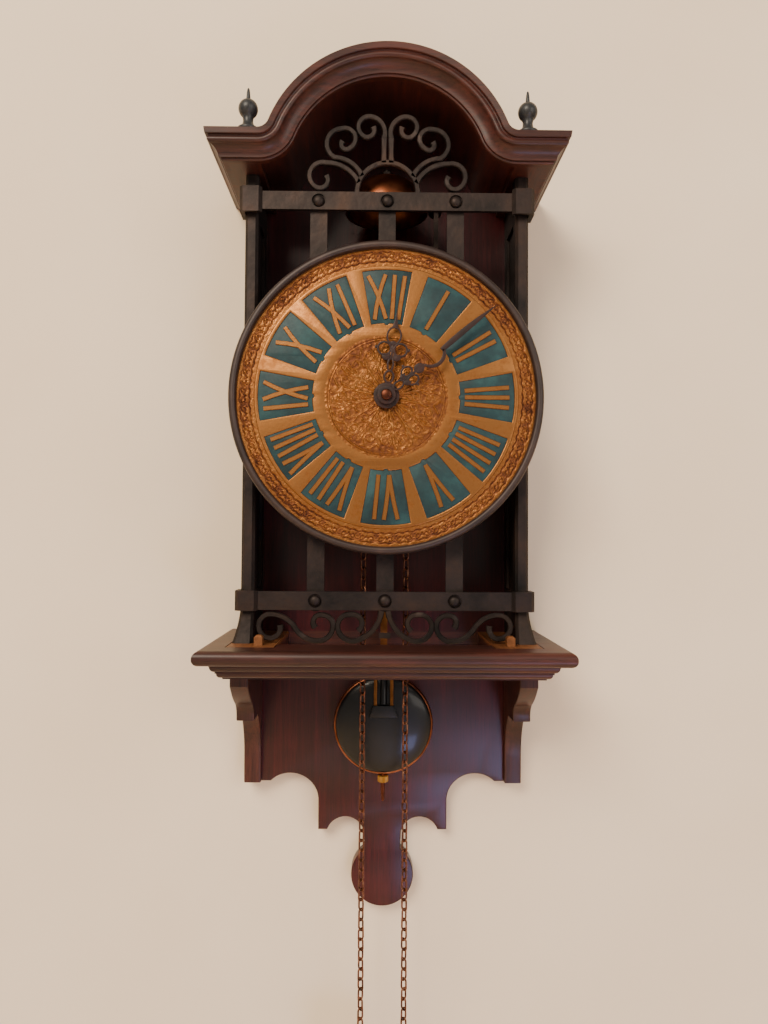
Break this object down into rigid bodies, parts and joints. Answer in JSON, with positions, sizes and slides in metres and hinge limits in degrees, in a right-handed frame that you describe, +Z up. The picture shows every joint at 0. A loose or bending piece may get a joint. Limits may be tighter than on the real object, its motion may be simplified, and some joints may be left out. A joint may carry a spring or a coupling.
{
  "type": "weight-driven wall clock",
  "caption": "Pendulum wall clock with a scalloped wooden case, iron cage, enamelled dial, bell, chain and driving weight.",
  "frame": {"origin": "centre of the hanging hole at the back of the case", "axes": "+Z up, -Y out of the wall towards the viewer, +X to the viewer's right"},
  "size_m": [0.241, 0.122, 0.8032],
  "materials": {
    "mahogany": "stained and varnished mahogany",
    "backwood": "dark red stained board",
    "palewood": "plain varnished pale wood",
    "iron": "blackened wrought iron",
    "bell": "copper-coloured bell metal, lacquered",
    "steel": "plain steel",
    "brass": "brushed brass",
    "dial": "pressed gilt brass with brown patina",
    "enamel": "teal enamel",
    "bezel": "dark bronzed metal",
    "hands": "black japanned steel",
    "bob": "gloss black enamel",
    "copper": "polished copper",
    "chain": "aged brass wire"
  },
  "bodies": {
    "case": {"apron": "backwood", "backboard": "backwood", "bell": "bell", "bell_bracket": "iron", "bezel": "bezel", "bracket_left": "mahogany", "bracket_right": "mahogany", "cartouches": "enamel", "chain_arc": "chain", "collars": "iron", "corner_blocks": "palewood", "crest": "iron", "crown_front": "mahogany", "crown_sides": "mahogany", "dial_feet": "brass", "dial_plate": "dial", "finials": "mahogany", "floor_boards": "palewood", "hood_vault": "mahogany", "low_scrolls": "iron", "medallion": "dial", "pillars": "brass", "plate_back": "brass", "plate_front": "brass", "posts": "iron", "rivets": "iron", "shelf_board": "mahogany", "shelf_moulding": "mahogany", "side_frames": "iron", "soffits": "mahogany", "standoffs": "brass", "strap_bottom": "iron", "strap_top": "iron", "suspension_cock": "brass", "vertical_straps": "iron", "wall_hanger": "steel"},
    "hands_train": {"centre_wheel": "brass", "cannon_pinion": "brass", "minute_hand": "hands", "hand_nut": "brass"},
    "great_train": {"great_wheel": "brass"},
    "third_train": {"third_wheel": "brass"},
    "escape_train": {"escape_wheel": "brass"},
    "motion_wheel": {"minute_wheel": "brass"},
    "hour_train": {"hour_wheel": "brass", "hour_hand": "hands"},
    "anchor_crutch": {"anchor": "steel"},
    "pendulum": {"suspension": "brass", "pendulum_rod": "brass", "pendulum_yoke": "brass", "pendulum_stem": "hands", "bob": "bob", "bob_rim": "copper", "rating_nut": "brass"},
    "strike_hammer": {"hammer": "steel"},
    "driving_weight": {"weight_hook": "steel", "weight": "brass", "chain_weight_side": "chain"},
    "pull_ring": {"chain_ring": "brass", "chain_free_side": "chain"}
  },
  "joints": [
    {"name": "minute_hand_turn", "type": "hinge", "parent": "case", "child": "hands_train", "pos_m": [0, -0.06, -0.1505], "axis": [0, 1, 0], "continuous": true},
    {"name": "great_wheel_turn", "type": "hinge", "parent": "case", "child": "great_train", "pos_m": [0, -0.056, -0.182], "axis": [0, 1, 0], "continuous": true},
    {"name": "third_wheel_turn", "type": "hinge", "parent": "case", "child": "third_train", "pos_m": [0.015, -0.056, -0.1305], "axis": [0, 1, 0], "continuous": true},
    {"name": "escape_wheel_turn", "type": "hinge", "parent": "case", "child": "escape_train", "pos_m": [0, -0.056, -0.11723], "axis": [0, 1, 0], "continuous": true},
    {"name": "motion_wheel_turn", "type": "hinge", "parent": "case", "child": "motion_wheel", "pos_m": [0.012, -0.073, -0.1505], "axis": [0, 1, 0], "continuous": true},
    {"name": "hour_hand_turn", "type": "hinge", "parent": "case", "child": "hour_train", "pos_m": [0, -0.085, -0.1505], "axis": [0, 1, 0], "continuous": true},
    {"name": "pendulum_swing", "type": "hinge", "parent": "case", "child": "pendulum", "pos_m": [0, -0.035, -0.097], "axis": [0, 1, 0], "range_deg": [-4, 4]},
    {"name": "anchor_rock", "type": "hinge", "parent": "case", "child": "anchor_crutch", "pos_m": [0, -0.05, -0.097], "axis": [0, 1, 0], "range_deg": [-4, 4]},
    {"name": "hammer_draw", "type": "hinge", "parent": "case", "child": "strike_hammer", "pos_m": [0.026, -0.05, -0.088], "axis": [0, 1, 0], "range_deg": [0, 12], "stiffness_Nm_per_rad": 0.08, "springref_deg": -17.19},
    {"name": "weight_travel", "type": "slide", "parent": "case", "child": "driving_weight", "axis": [0, 0, 1], "range_m": [0, 0.04], "deforming": ["chain_weight_side"]},
    {"name": "ring_travel", "type": "slide", "parent": "case", "child": "pull_ring", "axis": [0, 0, 1], "range_m": [-0.04, 0], "deforming": ["chain_free_side"]}
  ],
  "couplings": [
    {"joint": "great_wheel_turn", "follows": "minute_hand_turn", "ratio": -0.16667},
    {"joint": "third_wheel_turn", "follows": "minute_hand_turn", "ratio": -9},
    {"joint": "escape_wheel_turn", "follows": "minute_hand_turn", "ratio": 80},
    {"joint": "motion_wheel_turn", "follows": "minute_hand_turn", "ratio": -0.33333},
    {"joint": "hour_hand_turn", "follows": "minute_hand_turn", "ratio": 0.083333},
    {"joint": "anchor_rock", "follows": "pendulum_swing", "ratio": 1},
    {"joint": "ring_travel", "follows": "weight_travel", "ratio": -1}
  ]
}
